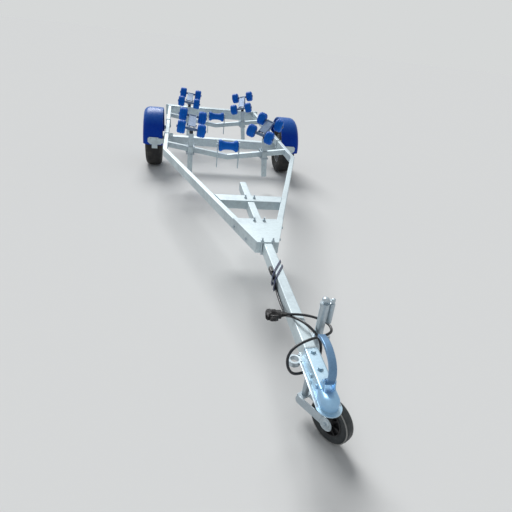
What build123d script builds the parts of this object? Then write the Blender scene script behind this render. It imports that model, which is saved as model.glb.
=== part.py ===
from build123d import *
import math
import os

# roller boat trailer, parked on its jockey wheel, in millimetres
# +X is to the right of someone who looks from the coupling to the rear, +Y to the rear, +Z up

# overall layout, from the road wheels' axis
axle_to_ball = 4078
axle_to_board = 1462
board_depth = 30
lamp_depth = 32
flange_radius = 46
front_reach = axle_to_ball + flange_radius
rear_reach = axle_to_board + board_depth + lamp_depth
axle_y = (front_reach - rear_reach) / 2
ball_y = axle_y - axle_to_ball
board_y = axle_y + axle_to_board

# frame tubes
frame_top = 447
tube_height = 70
rail_width = 40
bar_width = 50
wall = 3
tube_round = 5
rail_x = 622
kink_y = axle_y - 1028
apex_y = axle_y - 2946
apex_gap = 0.6
half_bar = bar_width / 2
frame_bottom = frame_top - tube_height
bar_rear_y = axle_y - 1902
bar_front_y = ball_y + 96

# plates near the apex
plate_thick = 6
plate_rear_y = axle_y - 2631
plate_front_y = apex_y - 14
cross_front_y = axle_y - 2323
cross_depth = 110
cross_drop = 60
cross_thick = 5

# bent keel beams that hold the rollers
beam_size = 50
beam_drop = 91
front_beam_y = axle_y - 776
rear_beam_y = axle_y + 800

# light board
board_half = 680
board_top = 454
board_height = 144

# road wheels and axle
wheel_x = 774
wheel_radius = 280
tyre_width = 165
rim_radius = 165
axle_size = 90
axle_top = 362
axle_wall = 6
axle_front_y = axle_y - 142
arm_thick = 28
stub_radius = 16
running_gap = 0.05

# mudguards
guard_radius = 366
guard_width = 212
guard_thick = 4
guard_half_angle = 75

# roller sets
post_size = 50
post_x = 380
post_bottom = 160
pivot_z = 632
roller_radius = 62
roller_width = 76
roller_x = 95
pair_y = 138
pair_rise = 32
plate_inside = 30
axle_radius = 8
keel_half = 97
keel_radius = 58
keel_z = 456

# coupling
ball_z = 420
dome_radius = 33
dome_length = 34
dome_round = 22
socket_radius = 25.3
sheet = 4
flange_half = 37
flange_z = 400
body_length = 237

# jockey wheel
mast_radius = 17.5
mast_x = half_bar + mast_radius + 14
mast_y = axle_y - 3752
leg_radius = 15
mast_bottom = 335
mast_top = 585
leg_bottom = 112
leg_top = 420
caster_turn = 30
trail = 158
caster_radius = 100
caster_width = 50

# cable and plug
cable_radius = 5.5
plug_radius = 22

across = (1, 0, 0)
back = (0, 1, 0)
up = (0, 0, 1)
nodes = {}


def ribbon(points, width):
    """plan outline of a bar that follows the points, mitred at each bend"""
    left = []
    right = []
    last = len(points) - 1
    for i, (x, y) in enumerate(points):
        before = points[max(i - 1, 0)]
        after = points[min(i + 1, last)]
        into = Vector(x - before[0], y - before[1])
        out = Vector(after[0] - x, after[1] - y)
        if i == 0:
            into = out
        if i == last:
            out = into
        into = into.normalized()
        out = out.normalized()
        mid = (into + out).normalized()
        side = Vector(-mid.Y, mid.X) * (width / 2 / mid.dot(out))
        left.append((x + side.X, y + side.Y))
        right.append((x - side.X, y - side.Y))
    return Polygon(*(left + right[::-1]), align=None)


def bar(x0, x1, y0, y1, z0, z1):
    """straight block between two corners"""
    size = Box(x1 - x0, y1 - y0, z1 - z0, align=(Align.MIN, Align.MIN, Align.MIN))
    return Pos(x0, y0, z0) * size


def rod_x(x0, x1, y, z, radius):
    """round rod along X"""
    size = Cylinder(radius, x1 - x0, align=(Align.CENTER, Align.CENTER, Align.MIN))
    return Pos(x0, y, z) * Rot(0, 90, 0) * size


def rod_y(x, y0, y1, z, radius):
    """round rod along Y"""
    size = Cylinder(radius, y1 - y0, align=(Align.CENTER, Align.CENTER, Align.MIN))
    return Pos(x, y0, z) * Rot(-90, 0, 0) * size


def rod_z(x, y, z0, z1, radius):
    """round rod along Z"""
    size = Cylinder(radius, z1 - z0, align=(Align.CENTER, Align.CENTER, Align.MIN))
    return Pos(x, y, z0) * size


def nut_z(x, y, z0, z1, across_flats):
    """six sided nut along Z"""
    hexagon = RegularPolygon(across_flats / 2, 6, major_radius=False)
    return Pos(x, y, z0) * extrude(hexagon, z1 - z0, dir=up)


def turned(points):
    """solid turned about X from radius and length pairs"""
    return Rot(0, 90, 0) * revolve(Plane.XZ * Polygon(*points, align=None), Axis.Z)


def hull_yz(circles, x0, x1):
    """plate across X round a few circles given as y, z, radius"""
    edges = []
    for y, z, radius in circles:
        edges.extend((Pos(y, z) * Circle(radius)).edges())
    return Pos(x0, 0, 0) * extrude(Plane.YZ * make_hull(edges), x1 - x0, dir=across)


def mirrored(shape):
    """the same piece on the other side"""
    return mirror(shape, Plane.YZ)


def rounded(tube):
    """tube blank with rounded long edges"""
    return fillet([edge for edge in tube.edges() if edge.length > 2 * tube_height], tube_round)


# side rails, straight at the rear and bent inwards to the apex
def rail_centre(y):
    """distance of the bent rail from the middle"""
    return apex_x + (y - apex_y) * slope


slope = 0
apex_x = half_bar + rail_width / 2 + apex_gap
for i in range(6):
    slope = (rail_x - apex_x) / (kink_y - apex_y)
    rail_slant = rail_width / 2 * math.sqrt(1 + slope * slope)
    apex_x = half_bar + apex_gap + rail_slant
rail_line = [(rail_x, board_y), (rail_x, kink_y), (rail_centre(apex_y - 60), apex_y - 60)]
rail = rounded(extrude(ribbon(rail_line, rail_width), tube_height, dir=up))
rail = rail - Pos(0, 0, wall) * extrude(ribbon(rail_line, rail_width - 2 * wall), tube_height - 2 * wall, dir=up)
rail = Pos(0, 0, frame_bottom) * rail
rail = rail - bar(-rail_x, rail_x, apex_y - 200, apex_y, frame_bottom - 1, frame_top + 1)
nodes["side_rail_right"] = rail
nodes["side_rail_left"] = mirrored(rail)

# drawbar tube between the rails
drawbar = rounded(bar(-half_bar, half_bar, bar_front_y, bar_rear_y, frame_bottom, frame_top))
hollow = bar(wall - half_bar, half_bar - wall, bar_front_y, bar_rear_y, frame_bottom + wall, frame_top - wall)
nodes["drawbar"] = drawbar - hollow

# plate on top of the apex
plate_rear_x = rail_centre(plate_rear_y) + rail_slant
plate_front_x = rail_centre(plate_front_y) + rail_slant
plate = Polygon((-plate_rear_x, plate_rear_y), (plate_rear_x, plate_rear_y), (plate_front_x, plate_front_y),
                (-plate_front_x, plate_front_y), align=None)
apex_plate = Pos(0, 0, frame_top) * extrude(plate, plate_thick, dir=up)

# crossmember, a channel open below that lies over the drawbar
cross_rear_y = cross_front_y + cross_depth
cross_rear_x = rail_centre(cross_rear_y) - rail_slant
cross_front_x = rail_centre(cross_front_y) - rail_slant
cross_plan = Polygon((-cross_rear_x, cross_rear_y), (cross_rear_x, cross_rear_y), (cross_front_x, cross_front_y),
                     (-cross_front_x, cross_front_y), align=None)
cross_bottom = frame_top + cross_thick - cross_drop
cross = Pos(0, 0, cross_bottom) * extrude(cross_plan, cross_drop, dir=up)
cross = cross - bar(-cross_rear_x, cross_rear_x, cross_front_y + cross_thick, cross_rear_y - cross_thick,
                    cross_bottom, frame_top)
cross = cross - bar(-half_bar, half_bar, cross_front_y - 1, cross_rear_y + 1, cross_bottom, frame_top)

# u bolts that hold the drawbar, threaded ends up with nuts
bolt_radius = 5
bolt_x = half_bar + bolt_radius + 1
bolt_rows = ((plate_front_y + 8, frame_top + plate_thick), (plate_rear_y - 34, frame_top + plate_thick),
             (cross_front_y + cross_depth / 2, frame_top + cross_thick))
bolt_list = []
for bolt_y, seat in bolt_rows:
    bend_z = frame_bottom - bolt_radius
    u_bolt = rod_x(-bolt_x, bolt_x, bolt_y, bend_z, bolt_radius)
    for side in (-1, 1):
        u_bolt = u_bolt + rod_z(side * bolt_x, bolt_y, bend_z, seat + 24, bolt_radius)
        u_bolt = u_bolt + Pos(side * bolt_x, bolt_y, bend_z) * Sphere(bolt_radius)
        u_bolt = u_bolt + nut_z(side * bolt_x, bolt_y, seat, seat + 9, 17)
        hole = rod_z(side * bolt_x, bolt_y, frame_top - 1, frame_top + 20, bolt_radius + 0.3)
        apex_plate = apex_plate - hole
        cross = cross - hole
    bolt_list.append(u_bolt)
nodes["apex_plate"] = apex_plate
nodes["crossmember"] = cross
nodes["drawbar_bolts"] = Compound(children=bolt_list)

# bent beams with lowered middle
beam_x = rail_x - rail_width / 2


def beam_face(inset):
    """front view of a bent beam, smaller by an inset"""
    low = beam_size - inset
    middle = frame_top - beam_drop
    return Polygon((-beam_x, frame_top - inset), (0, middle - inset), (beam_x, frame_top - inset),
                   (beam_x, frame_top - low), (0, middle - low), (-beam_x, frame_top - low), align=None)


beam = rounded(extrude(Plane.XZ * beam_face(0), beam_size, dir=back))
beam = beam - Pos(0, wall, 0) * extrude(Plane.XZ * beam_face(wall), beam_size - 2 * wall, dir=back)
nodes["front_keel_beam"] = Pos(0, front_beam_y, 0) * beam
nodes["rear_keel_beam"] = Pos(0, rear_beam_y, 0) * beam

# rear light board, a folded sheet across the rails' ends, with two lamps
board_low = board_top - board_height
board = bar(-board_half, board_half, board_y, board_y + board_depth, board_low, board_top)
board = board - bar(wall - board_half, board_half - wall, board_y + wall, board_y + board_depth + 1,
                    board_low + wall, board_top - wall)
nodes["light_board"] = board
lamp_half = 85
lamp_x = board_half - lamp_half - 30
lamp = bar(lamp_x - lamp_half, lamp_x + lamp_half, board_y + wall, board_y + board_depth + lamp_depth,
           board_low + 26, board_top - 22)
lamp = fillet(lamp.edges().filter_by(Axis.Y), 12)
lamp = fillet(lamp.faces().sort_by(Axis.Y)[-1].edges(), 5)
nodes["tail_lamps"] = Compound(children=[lamp, mirrored(lamp)])

# axle tube with its pads, swing arms and stubs
rail_out = rail_x + rail_width / 2
axle_end = rail_out + 6
axle_rear_y = axle_front_y + axle_size
axle_mid_y = axle_front_y + axle_size / 2
axle_mid_z = axle_top - axle_size / 2
axle = rounded(bar(-axle_end, axle_end, axle_front_y, axle_rear_y, axle_top - axle_size, axle_top))
axle = axle - bar(-axle_end - 1, axle_end + 1, axle_front_y + axle_wall, axle_rear_y - axle_wall,
                  axle_top - axle_size + axle_wall, axle_top - axle_wall)
nodes["axle_tube"] = axle
pad = bar(rail_x - 30, rail_out, axle_front_y - 20, axle_rear_y + 20, axle_top, frame_bottom)
for y0 in (axle_front_y - 8, axle_rear_y):
    pad = pad + bar(rail_x - 62, rail_out, y0, y0 + 8, axle_top - 74, frame_bottom)
pad = pad + rod_y(rail_x - 40, axle_front_y - 18, axle_front_y - 8, axle_top - 50, 9)
nodes["axle_pads"] = Compound(children=[pad, mirrored(pad)])
arm = hull_yz(((axle_mid_y, axle_mid_z, 40), (axle_y, wheel_radius, 30)), axle_end, axle_end + arm_thick)
stub_end = wheel_x + 10
arm = arm + rod_x(axle_end + arm_thick, stub_end, axle_y, wheel_radius, stub_radius)
nodes["swing_arm_right"] = arm
nodes["swing_arm_left"] = mirrored(arm)

# tyre, rim and hub, turned about X
half_tyre = tyre_width / 2
rim_half = half_tyre - 22
tyre_line = Spline((rim_radius + 22, half_tyre - 16), (rim_radius + 60, half_tyre),
                   (wheel_radius - 22, half_tyre - 8), (wheel_radius - 4, half_tyre - 26))
tyre_side = Line((rim_radius, rim_half), (rim_radius + 22, half_tyre - 16))
tyre_tread = ThreePointArc((wheel_radius - 4, half_tyre - 26), (wheel_radius, 0), (wheel_radius - 4, 26 - half_tyre))
bead = Line((rim_radius, rim_half), (rim_radius, -rim_half))
tyre_face = make_face([tyre_line, tyre_side, tyre_tread, mirror(tyre_line, Plane.XZ), mirror(tyre_side, Plane.XZ),
                       bead])
tyre = Rot(0, 90, 0) * revolve(Plane.XZ * tyre_face, Axis.Z)
tyre = tyre - turned(((rim_radius - 1, half_tyre - 32), (rim_radius + 14, half_tyre - 28),
                      (rim_radius + 60, half_tyre - 12), (wheel_radius - 24, half_tyre - 20),
                      (wheel_radius - 12, half_tyre - 42), (wheel_radius - 12, 42 - half_tyre),
                      (wheel_radius - 24, 20 - half_tyre), (rim_radius + 60, 12 - half_tyre),
                      (rim_radius + 14, 28 - half_tyre), (rim_radius - 1, 32 - half_tyre)))
rim = turned(((rim_radius - 6, rim_half + 6), (rim_radius + 13, rim_half + 8), (rim_radius + 13, rim_half + 5),
              (rim_radius, rim_half), (rim_radius, -rim_half), (rim_radius + 13, -rim_half - 5),
              (rim_radius + 13, -rim_half - 8), (rim_radius - 6, -rim_half - 6)))
rim = rim + turned(((38, 24), (80, 24), (110, 12), (140, 26), (rim_radius - 5, 26), (rim_radius - 5, 32),
                    (136, 32), (110, 18), (84, 30), (38, 30)))
for i in range(8):
    turn = math.radians(45 * i)
    rim = rim - rod_x(0, 40, 124 * math.sin(turn), 124 * math.cos(turn), 11)
hub_in = axle_end + arm_thick + 6 - wheel_x
hub = rod_x(hub_in, 24, 0, 0, 45) + rod_x(18, 24, 0, 0, 70) + rod_x(24, 44, 0, 0, 37.9) + rod_x(44, 58, 0, 0, 26)
hub = hub - rod_x(hub_in - 1, stub_end - wheel_x + 6, 0, 0, stub_radius + running_gap)
hub_list = [hub]
for i in range(5):
    turn = math.radians(72 * i)
    hub_list.append(rod_x(30, 46, 56 * math.sin(turn), 56 * math.cos(turn), 9))
wheel_place = Pos(wheel_x, axle_y, wheel_radius)
for name, piece in (("tyre", tyre), ("rim", rim), ("hub", Compound(children=hub_list))):
    nodes[name + "_right"] = wheel_place * piece
    nodes[name + "_left"] = mirrored(wheel_place * piece)

# mudguards and their stays
start = math.radians(90 - guard_half_angle)
end = math.radians(90 + guard_half_angle)


def guard_band(outer, inner, x0, x1):
    """curved band over the wheel between two radii"""
    full = rod_x(x0, x1, axle_y, wheel_radius, outer) - rod_x(x0 - 1, x1 + 1, axle_y, wheel_radius, inner)
    reach = guard_radius * 3
    cut = Polygon((0, 0), (reach * math.cos(start), reach * math.sin(start)), (reach, -reach), (-reach, -reach),
                  (reach * math.cos(end), reach * math.sin(end)), align=None)
    return full - Pos(x0 - 1, axle_y, wheel_radius) * extrude(Plane.YZ * cut, x1 - x0 + 2, dir=across)


guard_in = wheel_x - guard_width / 2
guard_out = wheel_x + guard_width / 2
guard = guard_band(guard_radius, guard_radius - guard_thick, guard_in, guard_out)
guard = guard + guard_band(guard_radius, guard_radius - 40, guard_out - guard_thick, guard_out)
guard = guard + guard_band(guard_radius, guard_radius - 14, guard_in, guard_in + guard_thick)
nodes["mudguard_right"] = guard
nodes["mudguard_left"] = mirrored(guard)
stay_list = []
clamp_list = []
guard_end_y = guard_radius * math.cos(start)
rail_in = rail_x - rail_width / 2
stay_top = wheel_radius + guard_radius * math.sin(start) + 12
stay_out = wheel_x + 52
for side in (-1, 1):
    near = axle_y + side * (guard_end_y + 0.2)
    far = axle_y + side * (guard_end_y + 6.2)
    low = min(near, far)
    stay_face = Polygon((rail_in, frame_bottom), (rail_out, frame_bottom), (stay_out, stay_top - 10),
                        (stay_out, stay_top - 52), (stay_out - 26, stay_top - 76), (guard_in + 24, stay_top - 76),
                        (guard_in, stay_top - 56), (rail_out, stay_top - 56), (rail_in, stay_top - 30), align=None)
    stay = Pos(0, low, 0) * extrude(Plane.XZ * stay_face, 6, dir=back)
    stay = stay + bar(wheel_x - 50, wheel_x + 10, low, low + 6, stay_top - 118, stay_top - 70)
    stay = stay + bar(wheel_x - 60, wheel_x + 40, low, low + 6, stay_top - 20, stay_top)
    stay_list.append(stay)
    stay_list.append(mirrored(stay))
    clamp_y = low + 3 + side * 18
    hoop = rod_x(rail_in - 5, rail_out + 5, clamp_y, frame_top + 4, 4)
    for x in (rail_in - 5, rail_out + 5):
        hoop = hoop + rod_z(x, clamp_y, frame_bottom - 26, frame_top + 4, 4)
        hoop = hoop + nut_z(x, clamp_y, frame_bottom - 14, frame_bottom - 6, 13)
    hoop = hoop + bar(rail_in - 14, rail_out + 14, clamp_y - 15, clamp_y + 15, frame_bottom - 6, frame_bottom)
    clamp_list.append(hoop)
    clamp_list.append(mirrored(hoop))
nodes["mudguard_stays"] = Compound(children=stay_list)
nodes["rail_clamps"] = Compound(children=clamp_list)

# posts in front of the bent beams, each with a head that carries a rocker with two roller pairs
# name, side, beam face, distance from the middle, lean, turn about Z, tilt about Y, rest pitch of the rocker
sets = (("front_left", -1, front_beam_y, post_x, 1, -2, 8, 15),
        ("front_right", 1, front_beam_y, post_x, -5, -27, 13, 18),
        ("rear_left", -1, rear_beam_y, post_x - 16, 1, -4, 6, 15),
        ("rear_right", 1, rear_beam_y, post_x - 16, -6, -16, -15, 24))
post_list = []
head_list = []
collar_list = []
clamp_list = []
roll_out = roller_x + roller_width / 2
for name, side, face, post_from_mid, lean, turn, tilt, pitch in sets:
    px = side * post_from_mid
    py = face - post_size / 2
    half = post_size / 2
    beam_mid = frame_top - beam_size / 2 - beam_drop * (1 - post_from_mid / beam_x)
    stand = Pos(px, py, beam_mid) * Rot(0, lean, 0)
    low = post_bottom - beam_mid
    high = pivot_z - 78 - beam_mid
    post = rounded(bar(-half, half, -half, half, low, high))
    post = post - bar(wall - half, half - wall, wall - half, half - wall, low - 1, high - wall)
    post_list.append(stand * post)

    # two u bolts round the post, above and below the beam, with one plate behind
    slant = beam_drop / beam_x * (half + 14)
    hold = bar(-half - 18, half + 18, half + beam_size, half + beam_size + 6, -beam_size / 2 - 22, beam_size / 2 + 22)
    for edge in (-1, 1):
        hoop_z = edge * (beam_size / 2 + 6 + slant)
        hold = hold + rod_x(-half - 9, half + 9, -half - 5, hoop_z, 5)
        for x in (-half - 9, half + 9):
            hold = hold + rod_y(x, -half - 5, half + beam_size + 20, hoop_z, 5)
            hold = hold + rod_y(x, half + beam_size + 6, half + beam_size + 14, hoop_z, 8.5)
            hold = hold + Pos(x, -half - 5, hoop_z) * Sphere(5)
    clamp_list.append(stand * hold)

    # head with two ears and the pin that the rocker tilts on
    place = stand * Pos(0, 0, pivot_z - beam_mid) * Rot(0, -lean, 0) * Rot(0, 0, turn) * Rot(0, tilt, 0)
    head = bar(-24, 24, -26, 26, -48, -40)
    for ear in (-1, 1):
        ear_plate = hull_yz(((0, 0, 15), (-14, -36, 12), (14, -36, 12)), ear * 21 - 3, ear * 21 + 3)
        head = head + ear_plate
    head = head + rod_x(-plate_inside - 12, plate_inside + 12, 0, 0, axle_radius)
    for ear in (-1, 1):
        x0 = min(ear * (plate_inside + 12), ear * (plate_inside + 18))
        head = head + rod_x(x0, x0 + 6, 0, 0, axle_radius + 5)
    head = place * head
    head_list.append(head)
    collar_list.append(stand * rod_z(0, 0, high, high + 32, 19) - head)

    # rocker: two plates with a web between them, two axles and their caps
    tip = place * Rot(pitch, 0, 0)
    rocker = None
    for ear in (-1, 1):
        x0 = min(ear * plate_inside, ear * (plate_inside + 6))
        plate = hull_yz(((0, 0, 24), (-pair_y, pair_rise, 17), (pair_y, pair_rise, 17)), x0, x0 + 6)
        plate = plate - rod_x(x0 - 1, x0 + 7, 0, 0, axle_radius + running_gap)
        rocker = plate if rocker is None else rocker + plate
    rocker = rocker + bar(-plate_inside, plate_inside, 30 - pair_y, pair_y - 30, pair_rise + 9, pair_rise + 15)
    for end_y in (-pair_y, pair_y):
        rocker = rocker + rod_x(-roll_out - 3, roll_out + 3, end_y, pair_rise, axle_radius)
        rocker = rocker + rod_x(-plate_inside, plate_inside, end_y, pair_rise, 14)
        for ear in (-1, 1):
            x0 = min(ear * (roll_out + 3), ear * (roll_out + 9))
            rocker = rocker + rod_x(x0, x0 + 6, end_y, pair_rise, 14)
            x0 = min(ear * (plate_inside + 6), ear * (roller_x - roller_width / 2 - 3))
            length = roller_x - roller_width / 2 - 3 - plate_inside - 6
            rocker = rocker + rod_x(x0, x0 + length, end_y, pair_rise, 12)
    nodes["rocker_" + name] = tip * rocker

    # roller pairs with two shallow grooves
    half_roll = roller_width / 2
    line = [(axle_radius + running_gap, -half_roll), (roller_radius - 12, -half_roll),
            (roller_radius - 3, 10 - half_roll)]
    for groove in (-13, 13):
        line.extend([(roller_radius, groove - 6), (roller_radius - 3, groove - 4), (roller_radius - 3, groove + 4),
                     (roller_radius, groove + 6)])
    line.extend([(roller_radius - 3, half_roll - 10), (roller_radius - 12, half_roll),
                 (axle_radius + running_gap, half_roll)])
    roll = turned(line)
    for label, end_y in (("a", -pair_y), ("b", pair_y)):
        pair = []
        for ear in (-1, 1):
            pair.append(tip * Pos(ear * roller_x, end_y, pair_rise) * roll)
        nodes["rollers_" + name + "_" + label] = Compound(children=pair)
nodes["roller_posts"] = Compound(children=post_list)
nodes["roller_heads"] = Compound(children=head_list)
nodes["post_collars"] = Compound(children=collar_list)
nodes["post_clamps"] = Compound(children=clamp_list)

# keel rollers between flat bars on the bent beams' middle
pin_radius = 10
keel_inside = keel_half + 8
for name, face in (("front", front_beam_y), ("rear", rear_beam_y)):
    pin_y = face - 25
    bars = rod_x(-keel_inside - 14, keel_inside + 14, pin_y, keel_z, pin_radius)
    for side in (-1, 1):
        x0 = min(side * keel_inside, side * (keel_inside + 8))
        bars = bars + bar(x0, x0 + 8, face - 50, face, keel_z - 222, keel_z + 40)
        x0 = min(side * (keel_inside + 8), side * (keel_inside + 16))
        bars = bars + rod_x(x0, x0 + 8, pin_y, keel_z, pin_radius + 5)
    nodes["keel_bracket_" + name] = bars
    spool = turned(((pin_radius + running_gap, -keel_half), (keel_radius - 8, -keel_half),
                    (keel_radius, 8 - keel_half), (keel_radius, 24 - keel_half), (keel_radius - 14, 44 - keel_half),
                    (keel_radius - 19, -22), (keel_radius - 19, 22), (keel_radius - 14, keel_half - 44),
                    (keel_radius, keel_half - 24), (keel_radius, keel_half - 8), (keel_radius - 8, keel_half),
                    (pin_radius + running_gap, keel_half)))
    nodes["keel_roller_" + name] = Pos(0, pin_y, keel_z) * spool

# coupling: pressed body over the drawbar's end, flange, long dome and socket
body_rear_y = ball_y + body_length
body_top = frame_top + sheet
body = bar(-half_bar - sheet, half_bar + sheet, ball_y + dome_length, body_rear_y, flange_z, body_top)
body = fillet(body.edges().filter_by(Axis.Y).sort_by(Axis.Z)[-2:], 7)
flange = bar(-flange_half, flange_half, ball_y, body_rear_y - 24, flange_z, flange_z + sheet)
body = body + flange + rod_z(0, ball_y, flange_z, flange_z + sheet, flange_radius)
dome_plan = Pos(0, ball_y + dome_length / 2) * SlotCenterToCenter(dome_length, 2 * dome_radius, rotation=90)
dome = Pos(0, 0, flange_z) * extrude(dome_plan, ball_z - flange_z + dome_radius, dir=up)
dome = fillet(dome.faces().sort_by(Axis.Z)[-1].edges(), dome_round)
body = body + dome
for bolt_y in (body_rear_y - 24, body_rear_y - 112):
    body = body + rod_z(0, bolt_y, body_top, body_top + 2, 12) + nut_z(0, bolt_y, body_top + 2, body_top + 9, 17)
for bolt_y, bolt_z in ((ball_y + 122, ball_z + 2), (ball_y + 60, ball_z + 14)):
    body = body + rod_x(-half_bar - sheet - 5, half_bar + sheet + 5, bolt_y, bolt_z, 8)
body = body - Pos(0, ball_y, ball_z) * Sphere(socket_radius) - rod_z(0, ball_y, flange_z - 1, ball_z, socket_radius)
body = body - bar(-half_bar, half_bar, bar_front_y - 8, body_rear_y + 1, flange_z - 1, frame_top)
lever_y = ball_y + 38
lever_z = ball_z + 58
for side in (-1, 1):
    body = body + hull_yz(((lever_y, lever_z, 9), (lever_y - 6, body_top - 8, 12), (lever_y + 10, body_top - 8, 12)),
                          side * 20 - 2, side * 20 + 2)
body = body + rod_x(-24, 24, lever_y, lever_z, 5)
nodes["coupling_body"] = body

# lever, an arched channel open below, with a boss on the pin
lever_path = Spline((0, lever_y - 8, lever_z + 4), (0, lever_y - 13, lever_z + 40), (0, lever_y + 8, lever_z + 72),
                    (0, lever_y + 44, lever_z + 90), (0, lever_y + 84, lever_z + 96), (0, lever_y + 138, lever_z + 84))
lever_profile = Pos(0, 3) * RectangleRounded(28, 13, 4) - Pos(0, 6) * Rectangle(22, 13)
lever = sweep(Plane(origin=lever_path @ 0, x_dir=across, z_dir=lever_path % 0) * lever_profile, path=lever_path)
lever = lever + rod_x(-14, 14, lever_y, lever_z, 11)
lever = lever - rod_x(-15, 15, lever_y, lever_z, 5 + running_gap)
nodes["coupling_lever"] = lever

# jockey wheel: clamp, outer tube, leg, fork, wheel and crank
clamp_low = frame_top - 62
clamp_high = frame_top - 12
clamp = rod_z(mast_x, mast_y, clamp_low, clamp_high, mast_radius + 6)
clamp = clamp + bar(half_bar, mast_x, mast_y - 20, mast_y + 20, clamp_low, clamp_high)
clamp = clamp + bar(half_bar, half_bar + 6, mast_y - 40, mast_y + 40, clamp_low, clamp_high)
clamp = clamp - rod_z(mast_x, mast_y, clamp_low - 1, clamp_high + 1, mast_radius)
for bolt_y in (mast_y - 31, mast_y + 31):
    clamp = clamp + rod_x(half_bar + 6, half_bar + 13, bolt_y, (clamp_low + clamp_high) / 2, 9)
clamp_handle_x = mast_x + mast_radius + 6
clamp = clamp + rod_x(clamp_handle_x - 2, clamp_handle_x + 26, mast_y, clamp_low + 25, 6)
clamp = clamp + rod_z(clamp_handle_x + 24, mast_y, clamp_low - 6, clamp_low + 46, 5)
nodes["jockey_clamp"] = clamp
mast = rod_z(mast_x, mast_y, mast_bottom, mast_top, mast_radius)
mast = mast - rod_z(mast_x, mast_y, mast_bottom - 1, mast_top - 4, leg_radius + running_gap)
mast = mast + rod_z(mast_x, mast_y, mast_top - 4, mast_top + 10, mast_radius + 2)
nodes["jockey_tube"] = mast
leg = rod_z(mast_x, mast_y, leg_bottom, leg_top, leg_radius)
leg = leg - rod_z(mast_x, mast_y, leg_bottom + 40, leg_top + 1, leg_radius - 3)
leg = leg - rod_z(mast_x, mast_y, leg_bottom - 1, leg_bottom + 24, 9)
nodes["jockey_leg"] = leg
caster = Pos(mast_x, mast_y, 0) * Rot(0, 0, caster_turn)
arm_in = caster_width / 2 + 6
fork = rod_z(0, 0, leg_bottom - 8, leg_bottom - 1, leg_radius + 5)
fork = fork + rod_z(0, 0, leg_bottom - 8, leg_bottom + 20, 9 - running_gap)
fork = fork + bar(-arm_in, arm_in, -18, 18, leg_bottom - 8, leg_bottom - 1)
fork = fork + bar(-arm_in, arm_in, 12, 18, leg_bottom - 38, leg_bottom - 1)
for side in (-1, 1):
    x0 = min(side * arm_in, side * (arm_in + 5))
    fork = fork + hull_yz(((0, leg_bottom - 19, 18), (2, leg_bottom - 26, 16), (-trail, caster_radius, 24)),
                          x0, x0 + 5)
    x0 = min(side * (arm_in + 5), side * (arm_in + 12))
    fork = fork + rod_x(x0, x0 + 7, -trail, caster_radius, 11)
fork = fork + rod_x(-arm_in - 1, arm_in + 1, -trail, caster_radius, 8)
nodes["jockey_fork"] = caster * fork
half_wide = caster_width / 2
tyre_inner = caster_radius - 36
tread = turned(((tyre_inner, 6 - half_wide), (caster_radius - 14, -half_wide), (caster_radius - 4, 6 - half_wide),
                (caster_radius, 16 - half_wide), (caster_radius, half_wide - 16), (caster_radius - 4, half_wide - 6),
                (caster_radius - 14, half_wide), (tyre_inner, half_wide - 6)))
core = turned(((8 + running_gap, -half_wide), (20, -half_wide), (26, -10), (tyre_inner - 8, -10),
               (tyre_inner - 5, 4 - half_wide), (tyre_inner, 4 - half_wide), (tyre_inner, half_wide - 4),
               (tyre_inner - 5, half_wide - 4), (tyre_inner - 8, 10), (26, 10), (20, half_wide),
               (8 + running_gap, half_wide)))
wheel_at = caster * Pos(0, -trail, caster_radius)
nodes["jockey_tyre"] = wheel_at * tread
nodes["jockey_rim"] = wheel_at * core
cap_top = mast_top + 10
grip_x = mast_x + mast_radius + 14
crank = rod_z(mast_x, mast_y, cap_top + 0.3, cap_top + 14, 9)
crank = crank + bar(mast_x - 8, grip_x + 5, mast_y - 8, mast_y + 8, cap_top + 6, cap_top + 12)
crank = crank + rod_z(grip_x, mast_y, mast_top - 84, cap_top + 8, 7)
nodes["jockey_crank"] = crank

# empty clamp ring on the left of the drawbar
ring_x = half_bar + mast_radius + 16
ring_y = body_rear_y
ring_low = frame_bottom + 1
ring_high = flange_z - 2
ring = rod_z(-ring_x, ring_y, ring_low, ring_high, mast_radius + 8)
ring = ring + bar(-ring_x, -half_bar, ring_y - 14, ring_y + 14, ring_low, ring_high)
ring = ring + bar(-half_bar - 6, -half_bar, ring_y - 36, ring_y + 36, ring_low, ring_high)
ring = ring - rod_z(-ring_x, ring_y, ring_low - 1, ring_high + 1, mast_radius)
for bolt_y in (ring_y - 27, ring_y + 27):
    ring = ring + rod_x(-half_bar - 12, -half_bar - 6, bolt_y, (ring_low + ring_high) / 2, 8)
nodes["prop_clamp"] = ring

# small bolts in the outer faces of the bent rails
bolt_list = []
rail_turn = math.degrees(math.atan(slope))
for bolt_y in (axle_y - 2650, axle_y - 2820):
    spot = Pos(rail_centre(bolt_y), bolt_y, frame_bottom + 28) * Rot(0, 0, -rail_turn)
    side_bolt = spot * rod_x(rail_width / 2, rail_width / 2 + 7, 0, 0, 8)
    bolt_list.append(side_bolt)
    bolt_list.append(mirrored(side_bolt))
nodes["rail_bolts"] = Compound(children=bolt_list)

# two lashings wound aslant round the drawbar and the cable on its left side
side_x = -half_bar - cable_radius - 0.3
lash_x = side_x - cable_radius - 0.2
lash_line = [(half_bar, frame_bottom), (half_bar, frame_top), (-half_bar, frame_top), (lash_x, frame_top - 17),
             (lash_x, frame_bottom + 11), (-half_bar, frame_bottom)]
lash_list = []
for lash_y in (axle_y - 3220, axle_y - 3270):
    inner_face = Polygon(*lash_line, align=None)
    sleeve = extrude(Plane.XZ * offset(inner_face, 5), 240, dir=back) - extrude(Plane.XZ * inner_face, 240, dir=back)
    slab = Pos(0, 120, frame_bottom) * Rot(0, 0, 63) * Box(300, 9, 400)
    lash_list.append(Pos(0, lash_y - 120, 0) * (sleeve & slab))
nodes["cable_lashings"] = Compound(children=lash_list)

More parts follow.
